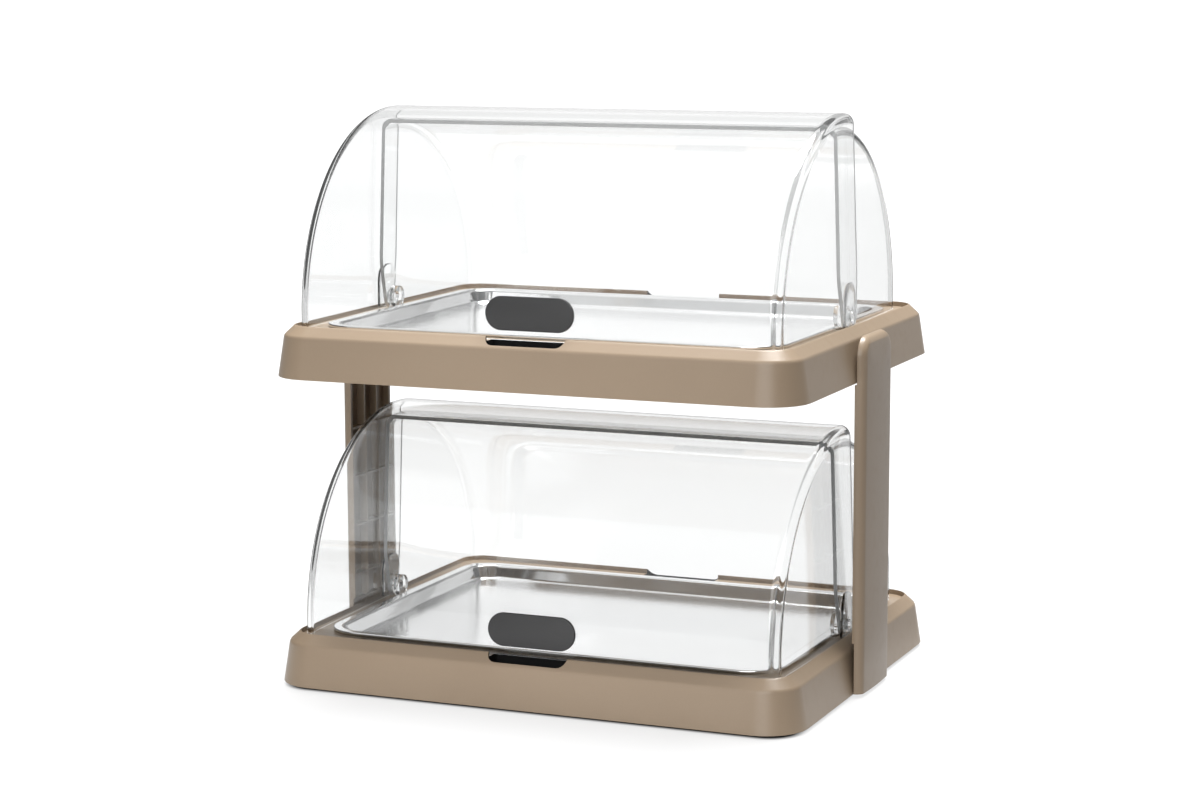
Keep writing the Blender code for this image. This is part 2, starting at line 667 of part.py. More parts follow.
def main():
    clear_scene()
    mats = {
        "taupe": material("taupe_plastic", (0.42, 0.36, 0.29), roughness=0.55),
        "steel": material("polished_steel", (0.75, 0.75, 0.76), metallic=1.0, roughness=0.25),
        "clear": material("clear_polycarbonate", (0.95, 0.97, 0.98), roughness=0.03, transmission=1.0),
        "dark": material("dark_plastic", (0.05, 0.05, 0.05), roughness=0.45),
        "pack": material("pack_polyethylene", (0.20, 0.42, 0.62), roughness=0.45),
        "zinc": material("zinc_plate", (0.66, 0.66, 0.64), metallic=1.0, roughness=0.35),
        "rubber": material("foot_rubber", (0.05, 0.05, 0.05), roughness=0.8),
    }
    make_tier("lower", LOWER_Z, mats)
    make_tier("upper", UPPER_Z, mats)
    make_column("left_column", -1, mats["taupe"])
    make_column("right_column", 1, mats["taupe"])
    for place, y in (("front", -FOOT_Y), ("rear", FOOT_Y)):
        for word, x in (("left", -FOOT_X), ("right", FOOT_X)):
            make_foot(f"{place}_{word}_foot", x, y, mats["rubber"])


main()
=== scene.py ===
# %% [markdown]
# # A two-tier chilled roll-top display
#
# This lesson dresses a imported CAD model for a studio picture. The real object is a buffet display: two moulded
# plastic bases on two side columns, a steel tray in each base, and over each tray a clear cover of two hoods that
# roll round the same pivots. The CAD nodes say where everything is and how it moves. The cells below give each
# surface its finish, and model again the pieces that need finer curves than the CAD solids have.

# %% Load the frame
import math

import bmesh
import bpy
import numpy as np
from mathutils import Matrix, Vector


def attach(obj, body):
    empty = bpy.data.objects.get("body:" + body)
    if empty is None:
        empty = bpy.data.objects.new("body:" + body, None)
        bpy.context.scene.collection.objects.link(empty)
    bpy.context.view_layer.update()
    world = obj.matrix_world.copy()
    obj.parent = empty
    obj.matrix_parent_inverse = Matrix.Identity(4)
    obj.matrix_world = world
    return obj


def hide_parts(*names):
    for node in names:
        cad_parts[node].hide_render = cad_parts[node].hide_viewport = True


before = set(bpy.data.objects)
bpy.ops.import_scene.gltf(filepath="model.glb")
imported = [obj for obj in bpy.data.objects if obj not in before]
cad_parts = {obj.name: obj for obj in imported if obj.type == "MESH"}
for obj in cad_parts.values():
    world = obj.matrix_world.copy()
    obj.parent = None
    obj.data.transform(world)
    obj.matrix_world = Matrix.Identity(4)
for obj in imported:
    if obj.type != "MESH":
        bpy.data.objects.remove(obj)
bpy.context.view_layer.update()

# %% [markdown]
# ## The camera
#
# The picture was taken from the front and a little to the right, from above the upper tier, with a long lens.
# A long lens keeps the left and right ends almost the same size, as a catalogue picture does. The place and the
# lens come from matching the outline of the bases, so they are plain numbers here.

# %% Camera
CAMERA_PLACE = (0.87285, -2.10105, 0.56387)
CAMERA_YAW, CAMERA_PITCH, CAMERA_ROLL = 22.772, -8.627, -0.15
CAMERA_LENS = 84.95

camera_data = bpy.data.cameras.new("studio_camera")
camera_data.lens = CAMERA_LENS
camera_data.sensor_width = 36.0
camera = bpy.data.objects.new("studio_camera", camera_data)
camera.matrix_world = (
    Matrix.Translation(CAMERA_PLACE)
    @ Matrix.Rotation(math.radians(CAMERA_YAW), 4, "Z")
    @ Matrix.Rotation(math.radians(90.0 + CAMERA_PITCH), 4, "X")
    @ Matrix.Rotation(math.radians(CAMERA_ROLL), 4, "Z")
)
bpy.context.scene.collection.objects.link(camera)
bpy.context.scene.camera = camera
print("camera at", CAMERA_PLACE, "with a", CAMERA_LENS, "mm lens")

# %% [markdown]
# ## Shared shader effects
#
# Several finishes need the same two effects, so each is a node group made once: a fine grain, as on plastic that
# was moulded against an etched tool, and a slow drift, as cleaning and handling leave on any surface. A group gives
# out only values that change over the surface. Each material decides what they drive. Nodes could be placed one by
# one each time, but a few helpers that add a node, set it and link it keep every material short enough to read.


# %% Node helpers
def new_group(name, inputs, outputs):
    """Empty shader node group with float inputs as (name, default) and float outputs."""
    group = bpy.data.node_groups.new(name, "ShaderNodeTree")
    for label, value in inputs:
        socket = group.interface.new_socket(label, in_out="INPUT", socket_type="NodeSocketFloat")
        socket.default_value = value
    for label in outputs:
        group.interface.new_socket(label, in_out="OUTPUT", socket_type="NodeSocketFloat")
    start = group.nodes.new("NodeGroupInput")
    end = group.nodes.new("NodeGroupOutput")
    return group, start, end


def add_node(tree, kind, label="", **settings):
    node = tree.nodes.new(kind)
    node.label = label
    for key, value in settings.items():
        setattr(node, key, value)
    return node


def noise(tree, scale, detail, vector):
    """Noise on the given vector; scale is a number or a socket."""
    node = add_node(tree, "ShaderNodeTexNoise")
    node.inputs["Detail"].default_value = detail
    if isinstance(scale, (int, float)):
        node.inputs["Scale"].default_value = scale
    else:
        tree.links.new(scale, node.inputs["Scale"])
    tree.links.new(vector, node.inputs["Vector"])
    return node.outputs["Fac"]


def remap(tree, value, low, high, to_low, to_high):
    node = add_node(tree, "ShaderNodeMapRange")
    for label, number in (("From Min", low), ("From Max", high), ("To Min", to_low), ("To Max", to_high)):
        node.inputs[label].default_value = number
    tree.links.new(value, node.inputs["Value"])
    return node.outputs["Result"]


def math_node(tree, operation, first, second):
    node = add_node(tree, "ShaderNodeMath", operation=operation)
    for socket, value in zip(node.inputs, (first, second)):
        if isinstance(value, (int, float)):
            socket.default_value = value
        else:
            tree.links.new(value, socket)
    return node.outputs[0]


print("node helpers are ready")


# %% [markdown]
# The grain is two sizes of noise added up, because an etched tool leaves both fine points and soft dimples. One
# size alone looks like sand. The drift stretches its noise along one slanting direction, as a cloth does.


# %% Grain and drift groups
def make_grain_group():
    """Fine moulded grain: two sizes of noise added up into one height."""
    group, start, end = new_group("moulded_grain", [("Scale", 1500.0)], ["Height", "Speckle"])
    place = add_node(group, "ShaderNodeTexCoord").outputs["Object"]
    fine = noise(group, start.outputs["Scale"], 3.0, place)
    coarse = noise(group, math_node(group, "MULTIPLY", start.outputs["Scale"], 0.31), 2.0, place)
    both = math_node(group, "ADD", math_node(group, "MULTIPLY", fine, 0.6), math_node(group, "MULTIPLY", coarse, 0.4))
    group.links.new(both, end.inputs["Height"])
    group.links.new(remap(group, fine, 0.35, 0.65, 0.0, 1.0), end.inputs["Speckle"])
    return group


def make_drift_group():
    """Slow patches and faint wipe marks, both from 0 to 1."""
    group, start, end = new_group("surface_drift", [("Scale", 9.0)], ["Patches", "Wipes"])
    place = add_node(group, "ShaderNodeTexCoord").outputs["Object"]
    patches = noise(group, start.outputs["Scale"], 4.0, place)
    stretch = add_node(group, "ShaderNodeMapping")
    stretch.inputs["Scale"].default_value = (0.25, 3.0, 3.0)
    stretch.inputs["Rotation"].default_value = (0.5, 0.3, 0.4)
    group.links.new(place, stretch.inputs["Vector"])
    wipes = noise(group, math_node(group, "MULTIPLY", start.outputs["Scale"], 6.0), 6.0, stretch.outputs["Vector"])
    group.links.new(remap(group, patches, 0.35, 0.65, 0.0, 1.0), end.inputs["Patches"])
    group.links.new(remap(group, wipes, 0.5, 0.75, 0.0, 1.0), end.inputs["Wipes"])
    return group


GRAIN = make_grain_group()
DRIFT = make_drift_group()
print("groups:", GRAIN.name, DRIFT.name)

# %% [markdown]
# ## Finishes
#
# Each finish starts from the Principled shader. A constant value is set on the shader's own socket, and only what
# changes over the surface comes through a link: colour, roughness and the bump's height. A texture picture could
# carry the same detail, but noise has no seams and needs no unwrapped surface.


# %% Material helpers
def start_material(name, colour, roughness, metallic=0.0, ior=1.5, specular=0.5):
    mat = bpy.data.materials.new(name)
    mat.use_nodes = True
    shader = mat.node_tree.nodes["Principled BSDF"]
    shader.inputs["Base Color"].default_value = (*colour, 1.0)
    shader.inputs["Roughness"].default_value = roughness
    shader.inputs["Metallic"].default_value = metallic
    shader.inputs["IOR"].default_value = ior
    shader.inputs["Specular IOR Level"].default_value = specular
    return mat, mat.node_tree, shader


def place_group(tree, group, scale):
    node = add_node(tree, "ShaderNodeGroup", node_tree=group)
    node.inputs["Scale"].default_value = scale
    return node


def mix_colours(tree, factor, first, second):
    """Colour between two others. A Mix node has several inputs called A and B, so they are found by number."""
    node = add_node(tree, "ShaderNodeMix", data_type="RGBA")
    tree.links.new(factor, node.inputs["Factor"])
    colour_a, colour_b, colour_result = node.inputs[6], node.inputs[7], node.outputs[2]
    colour_a.default_value = (*first, 1.0)
    colour_b.default_value = (*second, 1.0)
    return colour_result


def bump(tree, shader, height, strength, distance):
    node = add_node(tree, "ShaderNodeBump")
    node.inputs["Strength"].default_value = strength
    node.inputs["Distance"].default_value = distance
    tree.links.new(height, node.inputs["Height"])
    tree.links.new(node.outputs["Normal"], shader.inputs["Normal"])


print("material helpers are ready")


# %% [markdown]
# The bases and columns are injection-moulded plastic in a warm grey-brown, with a fine etched grain that hides
# fingerprints. The packs, feet and plates are plastic or rubber as well, and the finger recesses get a near-black
# painted shade made the same way, so one function makes them all, and only colours, grain and gloss differ.


# %% Moulded plastic
def moulded_plastic(name, dark, light, roughness, grain=1500.0, depth=0.00005, specular=0.4):
    """Plastic with an etched grain: colour and roughness drift a little, and the grain lifts the surface."""
    mat, tree, shader = start_material(name, light, roughness, specular=specular)
    texture = place_group(tree, GRAIN, grain)
    drift = place_group(tree, DRIFT, 7.0)
    speckle_part, patch_part = 0.35, 0.65
    shade = math_node(tree, "ADD", math_node(tree, "MULTIPLY", texture.outputs["Speckle"], speckle_part),
                      math_node(tree, "MULTIPLY", drift.outputs["Patches"], patch_part))
    tree.links.new(mix_colours(tree, shade, dark, light), shader.inputs["Base Color"])
    rough = math_node(tree, "ADD", math_node(tree, "MULTIPLY", drift.outputs["Wipes"], 0.07),
                      math_node(tree, "MULTIPLY", texture.outputs["Speckle"], 0.05))
    tree.links.new(math_node(tree, "ADD", rough, roughness - 0.05), shader.inputs["Roughness"])
    bump(tree, shader, texture.outputs["Height"], 0.35, depth)
    return mat


TAUPE = moulded_plastic("taupe_plastic_finish", (0.322, 0.242, 0.168), (0.356, 0.270, 0.190), 0.34,
                        specular=0.5)
DARK = moulded_plastic("dark_plastic_finish", (0.040, 0.040, 0.041), (0.052, 0.052, 0.053), 0.42,
                       grain=2200.0)
RUBBER = moulded_plastic("foot_rubber_finish", (0.030, 0.030, 0.030), (0.045, 0.045, 0.045), 0.80,
                         grain=900.0)
PACK = moulded_plastic("pack_plastic_finish", (0.10, 0.26, 0.46), (0.15, 0.34, 0.56), 0.45, grain=700.0)
# Painted shade: a near-black finish for the inside of the deep finger recesses, where little light comes back out.
RECESS_SHADE = moulded_plastic("recess_painted_shade_finish", (0.006, 0.006, 0.006), (0.010, 0.010, 0.010), 0.70,
                         grain=900.0, specular=0.2)
print("plastics:", TAUPE.name, DARK.name, RUBBER.name, PACK.name, RECESS_SHADE.name)


# %% [markdown]
# The trays are pressed from bright steel sheet. Pressing and cleaning leave the level pan and flange a little
# satin, while the drawn walls stay polished. With one roughness for all of it, the pan would mirror its own wall as
# a second dark band. So the surface's own normal adds some roughness wherever it points straight up. The screws
# have the dull grey of zinc plating.


# %% Metals
LEVEL_FROM, LEVEL_FULL = 0.97, 0.999


def worked_metal(name, colour, roughness, streaks, depth, metallic=1.0, satin=0.0):
    """Metal with fine streaks along X and rougher wiped patches; satin is extra roughness on level faces."""
    mat, tree, shader = start_material(name, colour, roughness, metallic=metallic)
    place = add_node(tree, "ShaderNodeTexCoord").outputs["Object"]
    stretch = add_node(tree, "ShaderNodeMapping")
    stretch.inputs["Scale"].default_value = (0.03, 1.0, 1.0)
    tree.links.new(place, stretch.inputs["Vector"])
    lines = noise(tree, streaks, 4.0, stretch.outputs["Vector"])
    drift = place_group(tree, DRIFT, 8.0)
    rough = math_node(tree, "ADD", math_node(tree, "MULTIPLY", lines, roughness * 0.5),
                      math_node(tree, "MULTIPLY", drift.outputs["Wipes"], roughness * 0.4))
    rough = math_node(tree, "ADD", rough, roughness * 0.7)
    if satin:
        facing = add_node(tree, "ShaderNodeSeparateXYZ")
        tree.links.new(add_node(tree, "ShaderNodeTexCoord").outputs["Normal"], facing.inputs[0])
        rough = math_node(tree, "ADD", rough, remap(tree, facing.outputs["Z"], LEVEL_FROM, LEVEL_FULL, 0.0, satin))
    tree.links.new(rough, shader.inputs["Roughness"])
    light = tuple(min(1.0, channel * 1.04) for channel in colour)
    tree.links.new(mix_colours(tree, drift.outputs["Patches"], colour, light), shader.inputs["Base Color"])
    bump(tree, shader, lines, 0.15, depth)
    return mat


STEEL = worked_metal("polished_steel_finish", (0.97, 0.97, 0.975), 0.08, 900.0, 0.00001,
                     metallic=0.97, satin=0.10)
ZINC = worked_metal("zinc_plate_finish", (0.62, 0.63, 0.64), 0.35, 600.0, 0.00003)
print("metals:", STEEL.name, ZINC.name)


# %% [markdown]
# The hoods are clear polycarbonate about 3 mm thick. Glass in a path tracer blocks the lamps, and a tray inside a
# closed hood would then be nearly black. So rays that only ask whether a lamp is in sight pass through a
# Transparent shader, a little darkened, and every other ray meets the real refracting wall. The narrow faces along
# a hood's edges are not polished like its walls. They scatter light, and that is why an edge shows as a grey line.


# %% Clear plastic
LAMP_TINT = (0.92, 0.925, 0.925, 1.0)


def clear_plastic(name, colour, roughness, ior, transmission=1.0):
    mat, tree, shader = start_material(name, colour, roughness, ior=ior)
    shader.inputs["Transmission Weight"].default_value = transmission
    drift = place_group(tree, DRIFT, 5.0)
    rough = math_node(tree, "MULTIPLY", drift.outputs["Wipes"], 0.02)
    tree.links.new(math_node(tree, "ADD", rough, roughness), shader.inputs["Roughness"])
    lamp_pass = add_node(tree, "ShaderNodeBsdfTransparent")
    lamp_pass.inputs["Color"].default_value = LAMP_TINT
    path = add_node(tree, "ShaderNodeLightPath")
    mix = add_node(tree, "ShaderNodeMixShader")
    tree.links.new(path.outputs["Is Shadow Ray"], mix.inputs["Fac"])
    tree.links.new(shader.outputs["BSDF"], mix.inputs[1])
    tree.links.new(lamp_pass.outputs["BSDF"], mix.inputs[2])
    tree.links.new(mix.outputs["Shader"], tree.nodes["Material Output"].inputs["Surface"])
    return mat


CLEAR = clear_plastic("clear_plastic_finish", (0.975, 0.98, 0.98), 0.012, 1.49)
CLEAR_EDGE = clear_plastic("clear_edge_finish", (0.94, 0.945, 0.95), 0.45, 1.49, transmission=0.15)
print("clear:", CLEAR.name, CLEAR_EDGE.name)


# %% [markdown]
# ## Making pieces
#
# A finished piece keeps its place in its mesh, and its object stays at the origin. It rides on one CAD body, so it
# moves with that body's joint, and it stands for the CAD nodes that it replaces. Objects could be placed and turned
# instead, but then each joint would need its own transforms to be undone first.


# %% Piece helpers
WELD, FINE_WELD = 0.00001, 0.000002


def add_piece(name, bm, mat, body, replaced=(), smooth=30.0, clean=True):
    """Object from a bmesh, shaded smooth except where faces meet at more than the given angle."""
    if clean:
        bmesh.ops.remove_doubles(bm, verts=bm.verts, dist=FINE_WELD)
        bmesh.ops.recalc_face_normals(bm, faces=bm.faces)
    mesh = bpy.data.meshes.new(name)
    bm.to_mesh(mesh)
    bm.free()
    mesh.materials.append(mat)
    mesh.shade_smooth()
    mesh.set_sharp_from_angle(angle=math.radians(smooth))
    obj = bpy.data.objects.new(name, mesh)
    bpy.context.scene.collection.objects.link(obj)
    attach(obj, body)
    if replaced:
        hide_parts(*replaced)
    print(name, "has", len(mesh.polygons), "faces")
    return obj


def softened(node, name, mat, body, width=0.0003, sharp=32.0, smooth=32.0, shape=None):
    """Copy of a CAD node with its loose triangles merged and its sharp edges rounded a little."""
    bm = bmesh.new()
    bm.from_mesh(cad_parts[node].data)
    bmesh.ops.remove_doubles(bm, verts=bm.verts, dist=WELD)
    bmesh.ops.dissolve_limit(bm, angle_limit=math.radians(0.5), verts=bm.verts[:], edges=bm.edges[:])
    if shape:
        shape(bm)
    edges = [edge for edge in bm.edges if edge.is_manifold and edge.calc_face_angle() > math.radians(sharp)]
    bmesh.ops.bevel(bm, geom=edges, offset=width, offset_type="OFFSET", segments=2, profile=0.5,
                    affect="EDGES", clamp_overlap=True, material=-1)
    piece = add_piece(name, bm, mat, body, [node], smooth=smooth, clean=False)
    flat = piece.modifiers.new("flat_faces", "WEIGHTED_NORMAL")
    flat.keep_sharp = True
    return piece


def fillet(points, steps=5):
    """Open path of (a, b, radius) corners with each corner rounded to its radius."""
    path = []
    for i, (a, b, radius) in enumerate(points):
        here = Vector((a, b))
        if radius == 0.0:
            path.append(here)
            continue
        back = (Vector(points[i - 1][:2]) - here).normalized()
        ahead = (Vector(points[i + 1][:2]) - here).normalized()
        half = back.angle(ahead) / 2.0
        centre = here + (back + ahead).normalized() * (radius / math.sin(half))
        first = here + back * (radius / math.tan(half)) - centre
        turn = math.pi - 2.0 * half
        sign = 1.0 if back.x * ahead.y - back.y * ahead.x < 0.0 else -1.0
        for step in range(steps + 1):
            angle = sign * turn * step / steps
            spoke = Vector((first.x * math.cos(angle) - first.y * math.sin(angle),
                            first.x * math.sin(angle) + first.y * math.cos(angle)))
            path.append(centre + spoke)
    return path


print("piece helpers weld points nearer than", WELD * 1000.0, "mm")


# %% [markdown]
# ## The roll-top hoods
#
# Each cover is a drum of clear plastic with slightly coned end walls, cut away so that only a little more than a
# quarter of it is left. It could be a cylinder cut by Booleans, but a cut drum has long thin faces at the cut, and
# these show in a reflection. So a profile is spun half a turn about the pivot line, and then each point is slid
# round its own circle until the first and last rows lie on the hood's edges. All points stay on the drum, and the
# faces stay even. A wall and small rounded edges come last.
#
# All lengths are in metres. A hood's "half" is the distance from the middle to its end wall on the pivot line,
# "radius" is the drum's outside, "corner" is the round between the drum and the end wall, "overlap" is how far its
# upright edge reaches past the pivot line, and "side" is -1 for a front hood and 1 for a rear one.

# %% Hood sizes
TIERS = {"lower": 0.003, "upper": 0.249}
PIVOT_ABOVE = 0.047
BOSS = 0.010
HOOD_WALL = 0.003
TAPER = 0.035
PIVOT_HOLE = 0.0043
FRONT = {"half": 0.2052, "radius": 0.1583, "corner": 0.009, "overlap": 0.0138, "side": -1}
REAR = {"half": 0.1997, "radius": 0.1480, "corner": 0.008, "overlap": 0.0180, "side": 1}

gap = FRONT["radius"] - HOOD_WALL - REAR["radius"]
print("the rear hood's drum turns inside the front one with a gap of", round(gap * 1000.0, 1), "mm")

# %% [markdown]
# On the real hood the upright edge at the middle doesn't run straight down to the pivot. Low down it is cut back,
# in a soft curve, to the small round boss that holds the pin, so that the hood clears its base when it turns. The
# edge is drawn once as a path with rounded corners, and read as an angle for every distance from the pivot.


# %% Hood edges
CUT_BACK_ABOVE, CUT_BACK_ROUND = 0.029, 0.014
PAST_THE_DRUM = 0.17


def upright_edge(overlap):
    """Radius and angle along the hood's inner edge, from the boss up to the top of the drum."""
    tangent = math.atan2(CUT_BACK_ABOVE, overlap) - math.acos(BOSS / math.hypot(overlap, CUT_BACK_ABOVE))
    start = Vector((BOSS * math.cos(tangent), BOSS * math.sin(tangent)))
    path = fillet([(start.x, start.y, 0.0), (overlap, CUT_BACK_ABOVE, CUT_BACK_ROUND),
                   (overlap, PAST_THE_DRUM, 0.0)], 12)
    dense = []
    for a, b in zip(path, path[1:]):
        dense += [a.lerp(b, step / 12) for step in range(12)]
    radii = [point.length for point in dense] + [path[-1].length]
    angles = [math.atan2(point.y, point.x) for point in dense] + [math.atan2(path[-1].y, path[-1].x)]
    return radii, angles, tangent


def slide_round(bm, size):
    """Slides each point of a half turn round the pivot line until the end rows lie on the hood's edges."""
    radii, angles, _ = upright_edge(size["overlap"])
    for vert in bm.verts:
        radius = math.hypot(vert.co.y, vert.co.z)
        share = abs(math.atan2(vert.co.z, vert.co.y)) / math.pi
        first = float(np.interp(radius, radii, angles))
        last = math.pi + math.asin(min(1.0, BOSS / max(radius, BOSS)))
        angle = first + share * (last - first)
        vert.co.y = radius * math.cos(angle)
        vert.co.z = radius * math.sin(angle)


for label, size in (("front", FRONT), ("rear", REAR)):
    print(label, "hood's edge leaves its boss at", round(math.degrees(upright_edge(size["overlap"])[2]), 1), "degrees")

# %% [markdown]
# The end wall's rings are close together near the pivot, where the cut-back edge curves. Two more lie close to both
# sides of the corner. They keep the long drum out of the corner's shading: without them it would bend over the whole
# wall, and what is seen through the wall would bend too.


# %% Hood profile
CORNER_STEPS = 12
WALL_RINGS = [PIVOT_HOLE, 0.007, BOSS, 0.0115, 0.0135, 0.016, 0.019, 0.022, 0.025, 0.028, 0.031, 0.035, 0.041,
              0.050, 0.065, 0.085, 0.105, 0.125]
GUARD_NEAR, GUARD_FAR = 0.002, 0.006


def hood_profile(size):
    """Right half of the drum's profile as (distance along the pivot line, radius)."""
    end = size["half"] - TAPER * (size["radius"] - size["corner"])
    rings = WALL_RINGS + [size["radius"] - size["corner"] - GUARD_NEAR]
    path = [(size["half"] - TAPER * ring, ring) for ring in rings]
    for step in range(CORNER_STEPS + 1):
        angle = math.pi / 2.0 * step / CORNER_STEPS
        path.append((end - size["corner"] * (1.0 - math.cos(angle)),
                     size["radius"] - size["corner"] * (1.0 - math.sin(angle))))
    flat = end - size["corner"]
    return path + [(along, size["radius"]) for along in (flat - GUARD_NEAR, flat - GUARD_FAR, 0.0)]


def spin_profile(bm, path, start_angle, angle, steps):
    """Spins a profile about the X axis, from one angle above +Y and by another."""
    turn = Matrix.Rotation(start_angle, 3, "X")
    points = [bm.verts.new(turn @ Vector((along, radius, 0.0))) for along, radius in path]
    edges = [bm.edges.new(pair) for pair in zip(points, points[1:])]
    bmesh.ops.spin(bm, geom=points + edges, cent=(0.0, 0.0, 0.0), axis=(1.0, 0.0, 0.0), angle=angle,
                   steps=steps, use_merge=False, use_duplicate=False)


print("half of the front hood's profile has", len(hood_profile(FRONT)), "points")

# %% [markdown]
# The sheet is about 3 mm thick, and a little thicker round the corners, where the mould lets it flow. That is what
# draws the grey bands there. A second, thicker shell would do, but its seams would show in clear plastic. A vertex
# group tells the Solidify modifier each point's share of the thickness instead.


# %% Thicker corners
CORNER_WALL = 0.0042


def corner_share(size, point, pivot_z):
    """Share of the corner's wall that a point has: all of it halfway round the corner, less on the flat walls."""
    radius = math.hypot(point.y, point.z - pivot_z)
    end = size["half"] - TAPER * (size["radius"] - size["corner"])
    out = max(0.0, radius - size["radius"] + size["corner"])
    along = max(0.0, abs(point.x) - end + size["corner"])
    round_the_corner = math.sin(2.0 * math.atan2(out, along)) ** 2
    return (HOOD_WALL + (CORNER_WALL - HOOD_WALL) * round_the_corner) / CORNER_WALL


print("walls of", HOOD_WALL * 1000.0, "mm, up to", CORNER_WALL * 1000.0, "mm at the corners")

# %% [markdown]
# The hood stays one thin sheet while it is shaped, because a sheet is easy to slide and mirror. Its wall and the
# small rounds along its cut edges are modifiers. The narrow faces at the edges get the duller finish.


# %% Build the hoods
HOOD_EDGE_ROUND, HOOD_EDGE_ANGLE = 0.0006, 55.0


def build_hood(name, pivot_z, size, body, node, steps=96, boss_steps=24):
    """One hood: half a drum slid onto its edges, a boss below it, a mirrored half, then wall and edges."""
    bm = bmesh.new()
    path = hood_profile(size)
    spin_profile(bm, path, 0.0, math.pi, steps)
    slide_round(bm, size)
    tangent = upright_edge(size["overlap"])[2]
    boss_path = [point for point in path if point[1] <= BOSS + WELD]
    spin_profile(bm, boss_path, -math.pi / 2.0, math.pi / 2.0 + tangent, boss_steps)
    bmesh.ops.remove_doubles(bm, verts=bm.verts, dist=WELD)
    bmesh.ops.mirror(bm, geom=bm.verts[:] + bm.edges[:] + bm.faces[:], axis="X", merge_dist=WELD)
    if size["side"] > 0:
        bmesh.ops.scale(bm, vec=(1.0, -1.0, 1.0), verts=bm.verts)
    bmesh.ops.translate(bm, verts=bm.verts, vec=(0.0, 0.0, pivot_z))
    bmesh.ops.remove_doubles(bm, verts=bm.verts, dist=WELD)
    bmesh.ops.recalc_face_normals(bm, faces=bm.faces)
    top = max(bm.faces, key=lambda face: face.calc_center_median().z)
    if top.normal.z < 0.0:
        bmesh.ops.reverse_faces(bm, faces=bm.faces)
    hood = add_piece(name, bm, CLEAR, body, [node], smooth=40.0, clean=False)
    shares = hood.vertex_groups.new(name="wall_share")
    for vert in hood.data.vertices:
        shares.add([vert.index], corner_share(size, vert.co, pivot_z), "REPLACE")
    wall = hood.modifiers.new("wall", "SOLIDIFY")
    wall.thickness = CORNER_WALL
    wall.vertex_group = shares.name
    wall.offset = -1.0
    wall.use_even_offset = True
    hood.data.materials.append(CLEAR_EDGE)
    wall.material_offset_rim = 1
    rounding = hood.modifiers.new("rounding", "BEVEL")
    rounding.width = HOOD_EDGE_ROUND
    rounding.segments = 2
    rounding.limit_method = "ANGLE"
    rounding.angle_limit = math.radians(HOOD_EDGE_ANGLE)
    rounding.harden_normals = True
    return hood


for tier, base_z in TIERS.items():
    pivot_z = base_z + PIVOT_ABOVE
    build_hood(f"{tier}_front_hood_shell", pivot_z, FRONT, f"{tier}_front_cover", f"{tier}_front_hood")
    build_hood(f"{tier}_rear_hood_shell", pivot_z, REAR, f"{tier}_rear_cover", f"{tier}_rear_hood")

# %% [markdown]
# Inside each end wall of a front hood, an arched pad stiffens the wall round the pivot hole. A Boolean of an arch
# and a hole would do, but two rings bridged to each other keep the faces even. The outer ring starts as a circle,
# and each of its points slides along its own spoke until it meets the arch.

# %% Pivot pads
PAD_THICK = 0.0013
PAD_GAP = 0.0001
PAD_FRONT, PAD_REAR, PAD_FOOT, PAD_TOP = 0.0165, 0.0085, 0.0085, 0.0270
PAD_LEAN, PAD_ARCH, PAD_HEEL, PAD_EDGE = 0.004, 0.0123, 0.0082, 0.0009
PAD_POINTS = 72


def pad_reach(angles):
    """Distance from the pivot to the arch's outline at each angle above +Y."""
    path = fillet([(-PAD_FRONT, -PAD_FOOT, 0.0), (PAD_REAR, -PAD_FOOT, PAD_HEEL),
                   (PAD_REAR + PAD_LEAN, PAD_TOP, PAD_ARCH), (-PAD_FRONT, PAD_TOP, PAD_ARCH),
                   (-PAD_FRONT, -PAD_FOOT, 0.0)], 10)
    dense = []
    for a, b in zip(path, path[1:]):
        dense += [a.lerp(b, step / 10) for step in range(10)]
    around = [math.atan2(point.y, point.x) for point in dense]
    order = np.argsort(around)
    return np.interp(angles, np.array(around)[order], np.array([p.length for p in dense])[order],
                     period=2.0 * math.pi)


def build_pad(name, pivot_z, side, body, node):
    """Arched ring, first flat, then raised, rounded and laid against the inside of the end wall."""
    bm = bmesh.new()
    bmesh.ops.create_circle(bm, segments=PAD_POINTS, radius=PIVOT_HOLE)
    outer = bmesh.ops.create_circle(bm, segments=PAD_POINTS, radius=BOSS)["verts"]
    for vert in outer:
        reach = float(pad_reach(math.atan2(vert.co.y, vert.co.x)))
        vert.co = vert.co.normalized() * reach
    bmesh.ops.bridge_loops(bm, edges=bm.edges[:])
    raised = bmesh.ops.extrude_face_region(bm, geom=bm.faces[:])
    top = [item for item in raised["geom"] if isinstance(item, bmesh.types.BMVert)]
    bmesh.ops.translate(bm, verts=top, vec=(0.0, 0.0, PAD_THICK))
    rim = [edge for edge in bm.edges
           if all(vert in top for vert in edge.verts) and edge.calc_face_angle(0.0) > 1.0]
    bmesh.ops.bevel(bm, geom=rim, offset=PAD_EDGE, offset_type="OFFSET", segments=4, profile=0.5,
                    affect="EDGES", material=-1)
    for vert in bm.verts:
        wall_inside = FRONT["half"] - HOOD_WALL - TAPER * vert.co.xy.length - PAD_GAP
        vert.co = (side * (wall_inside - vert.co.z), vert.co.x, pivot_z + vert.co.y)
    pad = add_piece(name, bm, CLEAR, body, [node], smooth=35.0)
    return pad


for tier, base_z in TIERS.items():
    for word, side in (("left", -1), ("right", 1)):
        build_pad(f"{tier}_{word}_hood_pad", base_z + PIVOT_ABOVE, side,
                  f"{tier}_front_cover", f"{tier}_front_hood")

# %% [markdown]
# ## The grip plates
#
# A pill-shaped plate sits low on each front hood, where a hand pushes it up. It could be cut out of a thicker drum,
# but its soft edges would then be hard to make. So it is made flat as a rounded strip, given a thickness and soft
# edges, and then wrapped round the drum. Level cuts across it give it enough rows to bend.

